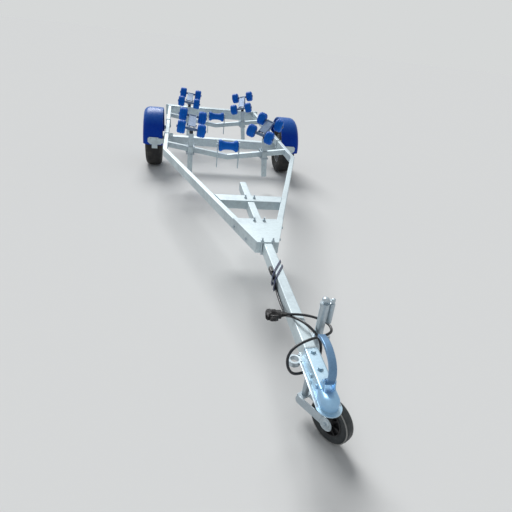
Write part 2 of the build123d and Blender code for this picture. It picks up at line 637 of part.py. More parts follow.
# cable from its entry cover along the drawbar, over it, under the coupling, round the mast and into the plug
over_z = frame_top + cable_radius
under_z = frame_bottom - cable_radius
entry_y = axle_y - 3250
entry_z = frame_bottom + 48
entry = bar(-half_bar - 16, -half_bar, entry_y, entry_y + 46, entry_z - 12, entry_z + 12)
entry = fillet(entry.edges().filter_by(Axis.Y).sort_by(Axis.X)[:2], 6)
nodes["cable_entry"] = entry
plug_y = axle_y - 3640
plug_z = over_z + 6
plug_x = -half_bar - 24
route = [(side_x, entry_y, entry_z), (side_x, entry_y - 48, entry_z), (side_x, entry_y - 118, entry_z - 28),
         (side_x, entry_y - 194, entry_z - 34), (side_x - 1, entry_y - 270, entry_z - 29),
         (side_x - 8, mast_y + 161, entry_z - 12),
         (side_x - 2, mast_y + 104, over_z + 2), (side_x + 30, mast_y + 46, over_z + 19),
         (half_bar + 4, mast_y - 6, over_z + 16), (half_bar + 26, mast_y - 52, over_z - 4),
         (half_bar + 25, mast_y - 78, under_z + 29), (half_bar - 3, mast_y - 101, under_z - 13),
         (-half_bar - 6, mast_y - 121, under_z - 18), (-ring_x - 14, mast_y - 135, under_z - 7),
         (-ring_x - 37, mast_y - 134, under_z + 24), (-ring_x - 41, mast_y - 119, under_z + 57),
         (-ring_x - 22, mast_y - 97, over_z - 3), (-ring_x + 14, mast_y - 79, over_z + 11),
         (half_bar - 15, mast_y - 60, over_z + 20), (mast_x + 8, mast_y - 52, over_z + 24),
         (mast_x + 47, mast_y - 23, over_z + 21), (mast_x + 49, mast_y + 31, over_z + 18),
         (mast_x + 14, mast_y + 78, over_z + 12), (half_bar - 15, plug_y, plug_z),
         (plug_x, plug_y, plug_z)]
radii = []
length = 0
for i in range(1, len(route) - 1):
    before = Vector(*route[i]) - Vector(*route[i - 1])
    after = Vector(*route[i + 1]) - Vector(*route[i])
    half_angle = math.radians(before.get_angle(after)) / 2
    radii.append(0.45 * min(before.length, after.length) / math.tan(half_angle))
path = FilletPolyline(*route, radius=radii)
section = Plane(origin=path @ 0, z_dir=path % 0) * Circle(cable_radius)
cable = sweep(section, path=path)
nodes["cable"] = cable
print("cable radii", [round(r) for r in radii])
print("cable length", round(path.length), "volume", round(cable.volume), "section by length",
      round(math.pi * cable_radius ** 2 * path.length))
plug = Rot(0, 0, 180) * turned(((0, 0), (cable_radius + 1.5, 0), (cable_radius + 4, 14), (14, 18),
                               (plug_radius - 3, 26), (plug_radius - 3, 50), (plug_radius, 52),
                               (plug_radius, 70), (plug_radius + 2, 72), (plug_radius + 2, 86),
                               (plug_radius - 2, 90), (0, 90)))
plug = plug + bar(-78, -42, -plug_radius - 16, -plug_radius + 6, -14, 14)
nodes["plug"] = Pos(plug_x, plug_y, plug_z) * plug

os.makedirs("parts", exist_ok=True)
for name, shape in nodes.items():
    export_step(shape, "parts/" + name + ".step")
box = Compound(children=list(nodes.values())).bounding_box()
print(len(nodes), "nodes", box.min, box.max)
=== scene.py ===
import math

import bpy
from mathutils import Matrix, Vector


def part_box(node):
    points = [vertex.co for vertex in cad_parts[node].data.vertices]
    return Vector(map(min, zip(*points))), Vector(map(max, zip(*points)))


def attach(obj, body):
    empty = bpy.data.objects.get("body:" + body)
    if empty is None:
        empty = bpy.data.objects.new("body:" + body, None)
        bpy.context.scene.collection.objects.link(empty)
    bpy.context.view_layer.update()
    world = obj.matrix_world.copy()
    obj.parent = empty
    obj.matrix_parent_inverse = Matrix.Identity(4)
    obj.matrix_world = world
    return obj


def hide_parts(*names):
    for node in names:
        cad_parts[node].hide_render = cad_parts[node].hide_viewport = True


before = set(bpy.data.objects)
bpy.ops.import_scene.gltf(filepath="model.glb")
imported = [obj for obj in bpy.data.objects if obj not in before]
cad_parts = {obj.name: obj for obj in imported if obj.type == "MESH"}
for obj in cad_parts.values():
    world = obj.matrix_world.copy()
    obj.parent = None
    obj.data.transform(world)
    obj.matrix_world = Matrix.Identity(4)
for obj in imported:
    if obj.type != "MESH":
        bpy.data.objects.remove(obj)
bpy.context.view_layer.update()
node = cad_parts

# Camera, held at shoulder height in front of the coupling and a little to its left. It
# looks back along the trailer and down, and is tipped a few degrees to one side.
camera_place = Vector((-0.510, -3.679, 1.465))
camera_turn = 0.22214
camera_dip = 0.48926
camera_tip = 0.12047
sensor_width = 36
frame_pixels = 512
focal_pixels = 410
bpy.ops.object.select_all(action="DESELECT")
bpy.ops.object.camera_add(location=camera_place)
camera = bpy.context.object
camera.matrix_world = (Matrix.Translation(camera_place)
                       @ Matrix.Rotation(-camera_turn, 4, "Z")
                       @ Matrix.Rotation(math.pi / 2 - camera_dip, 4, "X")
                       @ Matrix.Rotation(camera_tip, 4, "Z"))
camera.data.sensor_width = sensor_width
camera.data.lens = sensor_width * focal_pixels / frame_pixels
camera.data.shift_x = -1 / frame_pixels
bpy.context.scene.camera = camera

# Electric cable, black and 11 mm thick. It leaves a cover on the drawbar's left side,
# crosses over the drawbar, goes under the coupling, up round the mast and into its plug.
cable_radius = 0.0055
cable_points = [
    (-0.0308, -1.950, 0.425), (-0.0308, -1.998, 0.425), (-0.0308, -2.068, 0.397),
    (-0.0308, -2.144, 0.391), (-0.0318, -2.220, 0.396), (-0.0388, -2.291, 0.413),
    (-0.0328, -2.348, 0.4545), (-0.0008, -2.406, 0.4715), (0.029, -2.458, 0.4685),
    (0.051, -2.504, 0.4485), (0.050, -2.530, 0.4005), (0.022, -2.553, 0.3585),
    (-0.031, -2.573, 0.3535), (-0.0725, -2.587, 0.3645), (-0.0955, -2.586, 0.3955),
    (-0.0995, -2.571, 0.4285), (-0.0805, -2.549, 0.4495), (-0.0445, -2.531, 0.4635),
    (0.010, -2.512, 0.4725), (0.0645, -2.504, 0.4765), (0.1035, -2.475, 0.4735),
    (0.1055, -2.421, 0.4705), (0.0705, -2.374, 0.4645), (0.010, -2.340, 0.4585),
    (-0.049, -2.340, 0.4585)]
cable_curve = bpy.data.curves.new("electric_cable", "CURVE")
cable_curve.dimensions = "3D"
cable_curve.bevel_depth = cable_radius
cable_curve.bevel_resolution = 5
cable_curve.resolution_u = 14
cable_curve.use_fill_caps = True
cable_line = cable_curve.splines.new("NURBS")
cable_line.points.add(len(cable_points) - 1)
for point, place in zip(cable_line.points, cable_points):
    point.co = (*place, 1)
cable_line.order_u = 3
cable_line.use_endpoint_u = True
electric_cable = bpy.data.objects.new("electric_cable", cable_curve)
bpy.context.scene.collection.objects.link(electric_cable)


def new_material(name, roughness, metallic=0.0):
    """node material with its tree, shader and place on the object"""
    material = bpy.data.materials.new(name)
    material.use_nodes = True
    tree = material.node_tree
    shader = tree.nodes["Principled BSDF"]
    shader.inputs["Roughness"].default_value = roughness
    shader.inputs["Metallic"].default_value = metallic
    place = tree.nodes.new("ShaderNodeTexCoord").outputs["Object"]
    return material, tree, shader, place


def noise(tree, place, scale, detail=4, rough=0.55):
    """grey noise pattern"""
    pattern = tree.nodes.new("ShaderNodeTexNoise")
    pattern.inputs["Scale"].default_value = scale
    pattern.inputs["Detail"].default_value = detail
    pattern.inputs["Roughness"].default_value = rough
    tree.links.new(place, pattern.inputs["Vector"])
    return pattern.outputs["Fac"]


def spread(tree, value, low, high, out_low=0.0, out_high=1.0):
    """stretches a grey pattern between two of its levels"""
    stretch = tree.nodes.new("ShaderNodeMapRange")
    stretch.inputs["From Min"].default_value = low
    stretch.inputs["From Max"].default_value = high
    stretch.inputs["To Min"].default_value = out_low
    stretch.inputs["To Max"].default_value = out_high
    tree.links.new(value, stretch.inputs["Value"])
    return stretch.outputs["Result"]


def blend_colours(tree, share, first, second):
    """mixes two colours or colour patterns by a grey pattern"""
    mix = tree.nodes.new("ShaderNodeMix")
    mix.data_type = "RGBA"
    first_socket, second_socket, mixed_colour = mix.inputs[6], mix.inputs[7], mix.outputs[2]
    tree.links.new(share, mix.inputs["Factor"])
    for socket, colour in ((first_socket, first), (second_socket, second)):
        if isinstance(colour, tuple):
            socket.default_value = (*colour, 1)
        else:
            tree.links.new(colour, socket)
    return mixed_colour


def colour_surface(tree, shader, share, first, second):
    """surface colour, mixed from two by a grey pattern"""
    tree.links.new(blend_colours(tree, share, first, second), shader.inputs["Base Color"])


def vary_gloss(tree, shader, place, scale, low, high):
    """roughness that changes from spot to spot between two values"""
    tree.links.new(spread(tree, noise(tree, place, scale), 0.3, 0.7, low, high), shader.inputs["Roughness"])


def raise_grain(tree, shader, value, depth):
    """fine bump from a grey pattern, at most 1 mm high"""
    bump = tree.nodes.new("ShaderNodeBump")
    bump.inputs["Strength"].default_value = depth
    bump.inputs["Distance"].default_value = 0.001
    tree.links.new(value, bump.inputs["Height"])
    tree.links.new(bump.outputs["Normal"], shader.inputs["Normal"])


cable_black, tree, shader, place = new_material("cable_sheath", 0.42)
dust = spread(tree, noise(tree, place, 60), 0.48, 0.80, 0.0, 0.5)
colour_surface(tree, shader, dust, (0.008, 0.011, 0.016), (0.045, 0.055, 0.070))
vary_gloss(tree, shader, place, 300, 0.22, 0.42)
raise_grain(tree, shader, noise(tree, place, 900), 0.12)
cable_curve.materials.append(cable_black)

# Trailer plug of black moulded plastic: ribbed boot, fluted grip, knurled collar, round
# face and a hinged lid with its thumb tab. It hangs on the cable's end, left of the drawbar.


def run_rings(name, start, along, rings, sides):
    """closed round body extruded ring by ring along an axis; each ring is a distance and a radius"""
    axis = Vector(along)
    longest = max(range(3), key=lambda i: abs(axis[i]))
    tilt = ((0, math.pi / 2, 0), (math.pi / 2, 0, 0), (0, 0, 0))[longest]
    first, radius = rings[0]
    bpy.ops.object.select_all(action="DESELECT")
    bpy.ops.mesh.primitive_circle_add(vertices=sides, radius=radius, fill_type="NGON", rotation=tilt,
                                      location=Vector(start) + axis * first)
    piece = bpy.context.object
    piece.name = name
    piece.data.name = name
    bpy.ops.object.transform_apply(location=True, rotation=True, scale=True)
    bpy.ops.object.mode_set(mode="EDIT")
    bpy.ops.mesh.select_mode(type="FACE")
    bpy.ops.mesh.select_all(action="SELECT")
    for far, wide in rings[1:]:
        grow = wide / radius
        bpy.ops.mesh.extrude_region_move(TRANSFORM_OT_translate={"value": tuple(axis * (far - first))})
        bpy.ops.transform.resize(value=tuple(1 if abs(part) > 0.5 else grow for part in axis),
                                 center_override=tuple(Vector(start) + axis * far))
        first, radius = far, wide
    bpy.ops.mesh.select_all(action="SELECT")
    bpy.ops.mesh.normals_make_consistent(inside=False)
    bpy.ops.object.mode_set(mode="OBJECT")
    return piece


def soft_block(name, low, high, round_edge, segments=3):
    """block between two corners with rounded edges"""
    low, high = Vector(low), Vector(high)
    bpy.ops.object.select_all(action="DESELECT")
    bpy.ops.mesh.primitive_cube_add(size=1, location=(low + high) / 2, scale=high - low)
    piece = bpy.context.object
    piece.name = name
    piece.data.name = name
    bpy.ops.object.transform_apply(location=True, rotation=True, scale=True)
    bpy.ops.object.mode_set(mode="EDIT")
    bpy.ops.mesh.select_all(action="SELECT")
    bpy.ops.mesh.bevel(offset=round_edge, segments=segments, affect="EDGES")
    bpy.ops.object.mode_set(mode="OBJECT")
    return piece


def join_pieces(name, pieces):
    """joins pieces into one"""
    bpy.ops.object.select_all(action="DESELECT")
    for piece in pieces:
        piece.select_set(True)
    bpy.context.view_layer.objects.active = pieces[0]
    bpy.ops.object.join()
    pieces[0].name = name
    pieces[0].data.name = name
    return pieces[0]


def dress(piece, material, body, angle=35):
    """soft shading, material, body and slot of a finished piece"""
    bpy.ops.object.select_all(action="DESELECT")
    piece.select_set(True)
    bpy.context.view_layer.objects.active = piece
    bpy.ops.object.shade_smooth_by_angle(angle=math.radians(angle))
    piece.data.materials.clear()
    piece.data.materials.append(material)
    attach(piece, body)


black_plastic, tree, shader, place = new_material("moulded_black", 0.35)
dust = spread(tree, noise(tree, place, 45), 0.50, 0.80, 0.0, 0.45)
colour_surface(tree, shader, dust, (0.014, 0.014, 0.016), (0.085, 0.085, 0.085))
vary_gloss(tree, shader, place, 220, 0.25, 0.5)
raise_grain(tree, shader, noise(tree, place, 1400), 0.1)
plug_end = Vector(cable_points[-1])
boot_ribs = 5
boot_rib_pitch = 0.0052
boot_rib_growth = 0.0008
plug_rings = [(0.0, 0.0068)]
for i in range(boot_ribs):
    at = 0.001 + i * boot_rib_pitch
    wide = 0.0072 + i * boot_rib_growth
    plug_rings += [(at, wide), (at + 0.0008, wide + 0.0012), (at + 0.0030, wide + 0.0014),
                   (at + 0.0038, wide)]
plug_rings += [(0.0265, 0.0135), (0.0275, 0.0175), (0.029, 0.0185), (0.050, 0.0188),
               (0.0505, 0.0208), (0.052, 0.0218), (0.070, 0.0218), (0.0712, 0.0210),
               (0.0718, 0.0232), (0.0735, 0.0239), (0.0845, 0.0239), (0.0865, 0.0225),
               (0.0885, 0.0198), (0.0899, 0.0190), (0.0899, 0.0165), (0.0880, 0.0160),
               (0.0880, 0.0005)]
plug_sides = 48
grip_start, grip_end = 0.030, 0.049
collar_start, collar_end = 0.053, 0.069
flute_sink = (0.95, 0.975, 0.975)
flute_middle = plug_end - Vector((0.050, 0, 0))
plug_body = run_rings("plug_body", plug_end, (-1, 0, 0), plug_rings, plug_sides)
for face in plug_body.data.polygons:
    back = plug_end.x - face.center.x
    turn = math.atan2(face.center.z - plug_end.z, face.center.y - plug_end.y) % (2 * math.pi)
    step = int(turn / (2 * math.pi) * plug_sides + 0.01)
    flute = grip_start < back < grip_end and step % 4 < 2
    knurl = collar_start < back < collar_end and step % 2 == 0
    face.select = flute or knurl
bpy.ops.object.mode_set(mode="EDIT")
bpy.ops.mesh.select_mode(type="FACE")
bpy.ops.mesh.extrude_region_move()
bpy.ops.transform.resize(value=flute_sink, center_override=flute_middle)
bpy.ops.object.mode_set(mode="OBJECT")
lid_arm = soft_block("lid_arm", plug_end + Vector((-0.0770, -0.0300, -0.0130)),
                     plug_end + Vector((-0.0430, -0.0170, 0.0130)), 0.003)
lid_tab = soft_block("lid_tab", plug_end + Vector((-0.0770, -0.0376, -0.0090)),
                     plug_end + Vector((-0.0520, -0.0290, 0.0090)), 0.0035)
hinge = run_rings("lid_hinge", plug_end + Vector((-0.0740, -0.0235, -0.0138)), (0, 0, 1),
                  ((0, 0.003), (0.0008, 0.0040), (0.0268, 0.0040), (0.0276, 0.003)), 16)
trailer_plug = join_pieces("trailer_plug", [plug_body, lid_arm, lid_tab, hinge])
dress(trailer_plug, black_plastic, "chassis", 30)
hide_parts("plug")
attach(electric_cable, "chassis")
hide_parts("cable")

# Cover of the cable's exit, with a tapered rubber boot that keeps the cable from bending
# sharply there, and two dark tape lashings round drawbar and cable.


def coat(names, material):
    """gives CAD pieces their finished material"""
    for name in names:
        node[name].data.materials.clear()
        node[name].data.materials.append(material)


entry_ribs = 6
entry_rib_pitch = 0.0055
entry_rib_taper = 0.0003
entry_rings = [(0.0, 0.0078), (0.002, 0.0080)]
for i in range(entry_ribs):
    at = 0.004 + i * entry_rib_pitch
    wide = 0.0078 - i * entry_rib_taper
    entry_rings += [(at, wide), (at + 0.0012, wide - 0.0009), (at + 0.0028, wide - 0.0009),
                    (at + 0.0040, wide)]
entry_rings += [(0.038, 0.0060), (0.0385, 0.0055)]
entry_start = Vector(cable_points[0]) + Vector((-0.0024, 0.001, 0))
entry_boot = run_rings("entry_boot", entry_start, (0, -1, 0), entry_rings, 20)
dress(entry_boot, black_plastic, "chassis", 30)
tape, tree, shader, place = new_material("lashing_tape", 0.5)
colour_surface(tree, shader, noise(tree, place, 80), (0.012, 0.018, 0.05), (0.02, 0.035, 0.11))
raise_grain(tree, shader, noise(tree, place, 700), 0.25)
coat(["cable_entry"], black_plastic)
coat(["cable_lashings"], tape)

# Plain studio: a pale floor, an even sky that the camera and bright metal see as a pale
# backdrop, and two wide soft lamps, the stronger one behind the trailer and a little to
# its left, as the light falls on it.
floor_size = 160
floor_gap = 0.0012
bpy.ops.object.select_all(action="DESELECT")
bpy.ops.mesh.primitive_plane_add(size=floor_size, location=(0, 0, -floor_gap))
floor = bpy.context.object
floor.name = "floor"
paper, tree, shader, place = new_material("floor_paper", 0.9)
shader.inputs["Base Color"].default_value = (0.745, 0.75, 0.745, 1)
shader.inputs["Specular IOR Level"].default_value = 0.0
floor.data.materials.append(paper)
world = bpy.data.worlds.new("studio")
bpy.context.scene.world = world
world.use_nodes = True
tree = world.node_tree
sky = tree.nodes["Background"]
sky.inputs["Color"].default_value = (0.93, 0.965, 1.0, 1)
sky.inputs["Strength"].default_value = 0.31
backdrop = tree.nodes.new("ShaderNodeBackground")
backdrop.inputs["Color"].default_value = (0.70, 0.7155, 0.7155, 1)
backdrop.inputs["Strength"].default_value = 0.96
ray = tree.nodes.new("ShaderNodeLightPath")
both = tree.nodes.new("ShaderNodeMixShader")
seen = ray.outputs["Is Camera Ray"]
for kind in ("Is Glossy Ray", "Is Transmission Ray"):
    either = tree.nodes.new("ShaderNodeMath")
    either.operation = "MAXIMUM"
    tree.links.new(seen, either.inputs[0])
    tree.links.new(ray.outputs[kind], either.inputs[1])
    seen = either.outputs[0]
tree.links.new(seen, both.inputs[0])
tree.links.new(sky.outputs[0], both.inputs[1])
tree.links.new(backdrop.outputs[0], both.inputs[2])
tree.links.new(both.outputs[0], tree.nodes["World Output"].inputs["Surface"])
# each lamp's name, place, strength and softness in degrees
lamps = (("rear_lamp", (-1.0, 5.5, 5.0), 2.8, 30),
         ("front_lamp", (-4.5, -6.5, 4.5), 0.10, 60))
for name, spot, strength, softness in lamps:
    bpy.ops.object.light_add(type="SUN", location=spot)
    lamp = bpy.context.object
    lamp.name = name
    lamp.rotation_euler = (-Vector(spot)).to_track_quat("-Z", "Y").to_euler()
    lamp.data.energy = strength
    lamp.data.angle = math.radians(softness)
bpy.context.scene.view_settings.view_transform = "Standard"

# Frame of welded box tube, hot-dip galvanised after welding: two bent side rails, the
# drawbar between them, the plate and channel that join these, two bent keel beams and the
# light board across the rear.


def zinc_coat(name, dark, bright, roughness, metallic, spangle):
    """zinc coated steel with crystal spangle, run marks and dull patches"""
    material, tree, shader, place = new_material(name, roughness, metallic)
    crystals = tree.nodes.new("ShaderNodeTexVoronoi")
    crystals.inputs["Scale"].default_value = spangle
    tree.links.new(place, crystals.inputs["Vector"])
    level = tree.nodes.new("ShaderNodeSeparateColor")
    tree.links.new(crystals.outputs["Color"], level.inputs["Color"])
    mixed = tree.nodes.new("ShaderNodeMath")
    mixed.operation = "MULTIPLY_ADD"
    mixed.inputs[1].default_value = 0.30
    tree.links.new(level.outputs[0], mixed.inputs[0])
    runs = spread(tree, noise(tree, place, 4.0, 6, 0.6), 0.35, 0.65, 0.0, 0.62)
    tree.links.new(runs, mixed.inputs[2])
    coated = blend_colours(tree, mixed.outputs[0], dark, bright)
    grime = spread(tree, noise(tree, place, 11.0, 8, 0.7), 0.58, 0.85, 0.0, 0.35)
    colour_surface(tree, shader, grime, coated, (0.26, 0.26, 0.24))
    gloss = spread(tree, mixed.outputs[0], 0.0, 1.0, roughness + 0.14, roughness - 0.08)
    tree.links.new(gloss, shader.inputs["Roughness"])
    raise_grain(tree, shader, noise(tree, place, 120, 6, 0.7), 0.2)
    return material


def ease_edges(names, width):
    """small rounding along the edges of CAD plates"""
    for name in names:
        piece = node[name]
        bpy.ops.object.select_all(action="DESELECT")
        piece.select_set(True)
        bpy.context.view_layer.objects.active = piece
        bpy.ops.mesh.customdata_custom_splitnormals_clear()
        bpy.ops.object.shade_smooth()
        joined = piece.modifiers.new("joined", "WELD")
        joined.merge_threshold = 0.00002
        eased = piece.modifiers.new("eased", "BEVEL")
        eased.width = width
        eased.segments = 2
        eased.limit_method = "ANGLE"
        eased.angle_limit = math.radians(40)
        even = piece.modifiers.new("even", "WEIGHTED_NORMAL")
        even.weight = 90


galvanised = zinc_coat("galvanised_steel", (0.47, 0.55, 0.59), (0.66, 0.78, 0.82), 0.44, 0.25, 70)
coat(["side_rail_left", "side_rail_right", "drawbar", "front_keel_beam", "rear_keel_beam", "apex_plate",
      "crossmember", "light_board"], galvanised)
plate_edge = 0.0012
ease_edges(["light_board"], plate_edge)

# Weld beads where the bent beams and the light board meet the side rails. Each is laid
# by hand in small overlapping ripples and galvanised over.
bead_radius = 0.0034
ripple_pitch = 0.0042


def lay_bead(start, end):
    """rippled bead between two points"""
    line = Vector(end) - Vector(start)
    ripples = max(3, int(line.length / ripple_pitch))
    rings = [(0, bead_radius * 0.3)]
    for i in range(ripples):
        at = line.length * (i + 0.15) / ripples
        crown = bead_radius * (1.02 if i % 3 else 0.94)
        rings += [(at, bead_radius * 0.82), (at + line.length * 0.5 / ripples, crown)]
    rings.append((line.length, bead_radius * 0.3))
    bead = run_rings("bead", (0, 0, 0), (0, 0, 1), rings, 8)
    turned = line.to_track_quat("Z", "Y").to_matrix().to_4x4()
    bead.matrix_world = Matrix.Translation(Vector(start)) @ turned
    bpy.ops.object.transform_apply(location=True, rotation=True, scale=True)
    return bead


rail_low, rail_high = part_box("side_rail_right")
beam_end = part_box("front_keel_beam")[1].x
board_low, board_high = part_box("light_board")
bead_lift = 0.0004
bead_inset = 0.0006
beam_bead_foot, beam_bead_head = 0.046, 0.005
board_bead_stop = 0.007
beads = []
for side in (-1, 1):
    for name in ("front_keel_beam", "rear_keel_beam"):
        low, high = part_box(name)
        for y in (low.y - bead_lift, high.y + bead_lift):
            x = side * (beam_end - bead_inset)
            beads.append(lay_bead((x, y, high.z - beam_bead_foot), (x, y, high.z - beam_bead_head)))
    for x in (beam_end, rail_high.x):
        foot = (side * x, board_low.y, rail_low.z + board_bead_stop)
        head = (side * x, board_low.y, rail_high.z - board_bead_stop)
        beads.append(lay_bead(foot, head))
dress(join_pieces("weld_beads", beads), galvanised, "chassis", 60)

# Rear angle, a galvanised profile that lies on both rails in front of the light board and
# stiffens it. Two domed bolts hold it on each rail.
angle_depth = 0.062
angle_drop = 0.050
angle_top = rail_high.z + 0.0042
angle_rear = board_low.y - 0.0004
angle_shelf = soft_block("angle", (-rail_high.x, board_low.y - angle_depth, rail_high.z + 0.0002),
                         (rail_high.x, angle_rear, angle_top), plate_edge, 2)
angle_leg = soft_block("leg", (0.003 - beam_end, board_low.y - 0.0044, rail_high.z - angle_drop),
                       (beam_end - 0.003, angle_rear, angle_top - 0.001), plate_edge, 2)
dress(join_pieces("rear_angle", [angle_shelf, angle_leg]), galvanised, "chassis")
dome = ((-0.001, 0.0105), (0.0008, 0.0105), (0.0010, 0.0080), (0.0030, 0.0074), (0.0046, 0.0056),
        (0.0054, 0.0025))
bolt_inset = 0.020
bolt_rows = (0.016, 0.046)
angle_bolts = [run_rings("bolt", (x, board_low.y - back, angle_top), (0, 0, 1), dome, 20)
               for x in (bolt_inset - rail_high.x, rail_high.x - bolt_inset) for back in bolt_rows]

# Closing plates, 4 mm thick, on the open front ends of both side rails below the apex
# plate. They are welded on and galvanised with the frame.
rail_corners = [corner.co for corner in node["side_rail_right"].data.vertices]
rail_front = min(corner.y for corner in rail_corners)
front_x = [corner.x for corner in rail_corners if corner.y < rail_front + 0.001]
closer_sheet = 0.004
closers = []
for side in (-1, 1):
    left, right = sorted((side * min(front_x), side * max(front_x)))
    closers.append(soft_block("closer", (left, rail_front - closer_sheet, rail_low.z + 0.001),
                              (right, rail_front - 0.0002, rail_high.z - 0.0004), plate_edge, 2))
dress(join_pieces("rail_end_plates", closers), galvanised, "chassis")

# Bolts and clamps, bright zinc plated: U bolts round the drawbar, round the rails at the
# mudguard stays and round the roller posts, and small bolts in the rails' outer faces.
plated = zinc_coat("plated_zinc", (0.38, 0.45, 0.50), (0.58, 0.66, 0.71), 0.34, 0.75, 260)
coat(["drawbar_bolts", "rail_clamps", "post_clamps", "rail_bolts"], plated)
dress(join_pieces("rear_angle_bolts", angle_bolts), plated, "chassis", 40)

# Axle: a square tube below the rails on bolted pads, with swing arms at its ends that
# carry the wheels' stubs and are sprung by rubber cords inside it.
coat(["axle_tube", "axle_pads", "swing_arm_left", "swing_arm_right"], galvanised)
ease_edges(["axle_pads"], plate_edge)

# Road tyres, 165 mm wide, of black rubber with brown dust. The tread has three ribs
# between grooves, and the shoulders are cut into blocks. One is modelled, then copied.
tyre_rubber, tree, shader, place = new_material("tyre_rubber", 0.8)
dust = spread(tree, noise(tree, place, 12, 8, 0.7), 0.42, 0.75, 0.0, 0.7)
colour_surface(tree, shader, dust, (0.020, 0.020, 0.021), (0.085, 0.078, 0.068))
vary_gloss(tree, shader, place, 40, 0.70, 0.92)
raise_grain(tree, shader, noise(tree, place, 400), 0.2)


def turn_profile(name, middle, profile, steps):
    """ring about an axle along X, extruded edge by edge along pairs of offset and radius"""
    bpy.ops.object.select_all(action="DESELECT")
    bpy.ops.mesh.primitive_circle_add(vertices=steps, radius=profile[0][1], rotation=(0, math.pi / 2, 0),
                                      location=Vector(middle) + Vector((profile[0][0], 0, 0)))
    piece = bpy.context.object
    piece.name = name
    piece.data.name = name
    bpy.ops.object.transform_apply(location=True, rotation=True, scale=True)
    bpy.ops.object.mode_set(mode="EDIT")
    bpy.ops.mesh.select_mode(type="VERT")
    bpy.ops.mesh.select_all(action="SELECT")
    for (x0, r0), (x1, r1) in zip(profile, profile[1:]):
        bpy.ops.mesh.extrude_region_move(TRANSFORM_OT_translate={"value": (x1 - x0, 0, 0)})
        bpy.ops.transform.resize(value=(1, r1 / r0, r1 / r0), center_override=middle)
    bpy.ops.mesh.select_all(action="SELECT")
    bpy.ops.mesh.remove_doubles(threshold=0.00001)
    bpy.ops.object.mode_set(mode="OBJECT")
    return piece


# half of the tyre's section: offset from its middle and radius
half_profile = ((0.0605, 0.166), (0.0650, 0.180), (0.0700, 0.186), (0.0705, 0.189), (0.0785, 0.205),
                (0.0818, 0.222), (0.0822, 0.232), (0.0800, 0.236), (0.0802, 0.247), (0.0765, 0.258),
                (0.0700, 0.268), (0.0620, 0.2745), (0.0540, 0.2776), (0.0460, 0.2784),
                (0.0446, 0.2715), (0.0390, 0.2715), (0.0376, 0.2790), (0.0180, 0.2797),
                (0.0166, 0.2725), (0.0110, 0.2725), (0.0096, 0.2799))
profile = [(-x, r) for x, r in half_profile] + [(x, r) for x, r in reversed(half_profile)]
round_steps = 120
groove_sink = 0.978
tyre_wall = 0.008
low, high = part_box("tyre_left")
tyre_middle = (low + high) / 2
tyre = turn_profile("road_tyre_left", tyre_middle, profile, round_steps)
for face in tyre.data.polygons:
    out = abs(face.center.x - tyre_middle.x)
    turn = math.atan2(face.center.z - tyre_middle.z, face.center.y - tyre_middle.y) % (2 * math.pi)
    step = int(turn / (2 * math.pi) * round_steps + 0.01)
    reach = math.hypot(face.center.y - tyre_middle.y, face.center.z - tyre_middle.z)
    shoulder = 0.046 < out < 0.072 and reach > 0.262
    middle = 0.018 < out < 0.037 and reach > 0.275
    face.select = (shoulder and step % 4 == 0) or (middle and step % 4 == 2)
bpy.ops.object.mode_set(mode="EDIT")
bpy.ops.mesh.select_mode(type="FACE")
bpy.ops.mesh.extrude_region_move()
bpy.ops.transform.resize(value=(1, groove_sink, groove_sink), center_override=tyre_middle)
bpy.ops.mesh.select_all(action="SELECT")
bpy.ops.mesh.normals_make_consistent(inside=False)
bpy.ops.object.mode_set(mode="OBJECT")
wall = tyre.modifiers.new("wall", "SOLIDIFY")
wall.thickness = tyre_wall
wall.offset = -1
bpy.ops.object.modifier_apply(modifier="wall")


def copy_across(piece, name):
    """mirrored copy of a piece for the trailer's other side, with its own mesh"""
    twin = piece.copy()
    twin.data = piece.data.copy()
    twin.name = name
    twin.data.name = name
    bpy.context.scene.collection.objects.link(twin)
    bpy.ops.object.select_all(action="DESELECT")
    twin.select_set(True)
    bpy.context.view_layer.objects.active = twin
    bpy.ops.object.mode_set(mode="EDIT")
    bpy.ops.mesh.select_all(action="SELECT")
    bpy.ops.transform.resize(value=(-1, 1, 1), center_override=(0, 0, 0))
    bpy.ops.mesh.flip_normals()
    bpy.ops.object.mode_set(mode="OBJECT")
    return twin


for piece, side in ((tyre, "left"), (copy_across(tyre, "road_tyre_right"), "right")):
    dress(piece, tyre_rubber, "wheel_" + side, 30)
    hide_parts("tyre_" + side)

# Rims of pressed steel in silver paint, each with a rubber valve, and plated hubs with
# five studs and a dust cap.
silver, tree, shader, place = new_material("silver_paint", 0.34, 0.5)
dirt = spread(tree, noise(tree, place, 18, 7, 0.65), 0.52, 0.80, 0.0, 0.5)
colour_surface(tree, shader, dirt, (0.58, 0.59, 0.60), (0.24, 0.22, 0.19))
vary_gloss(tree, shader, place, 60, 0.26, 0.44)
raise_grain(tree, shader, noise(tree, place, 260), 0.06)
coat(["rim_left", "rim_right"], silver)
coat(["hub_left", "hub_right"], plated)
valve_rings = ((0, 0.006), (0.004, 0.0058), (0.007, 0.0038), (0.020, 0.0034), (0.0205, 0.0042),
               (0.030, 0.0042), (0.0312, 0.0034))
valve_foot = tyre_middle + Vector((-0.028, 0.104, 0.104))
valve = run_rings("valve_left", valve_foot, (-1, 0, 0), valve_rings, 16)
for piece, side in ((valve, "left"), (copy_across(valve, "valve_right"), "right")):
    dress(piece, black_plastic, "wheel_" + side)

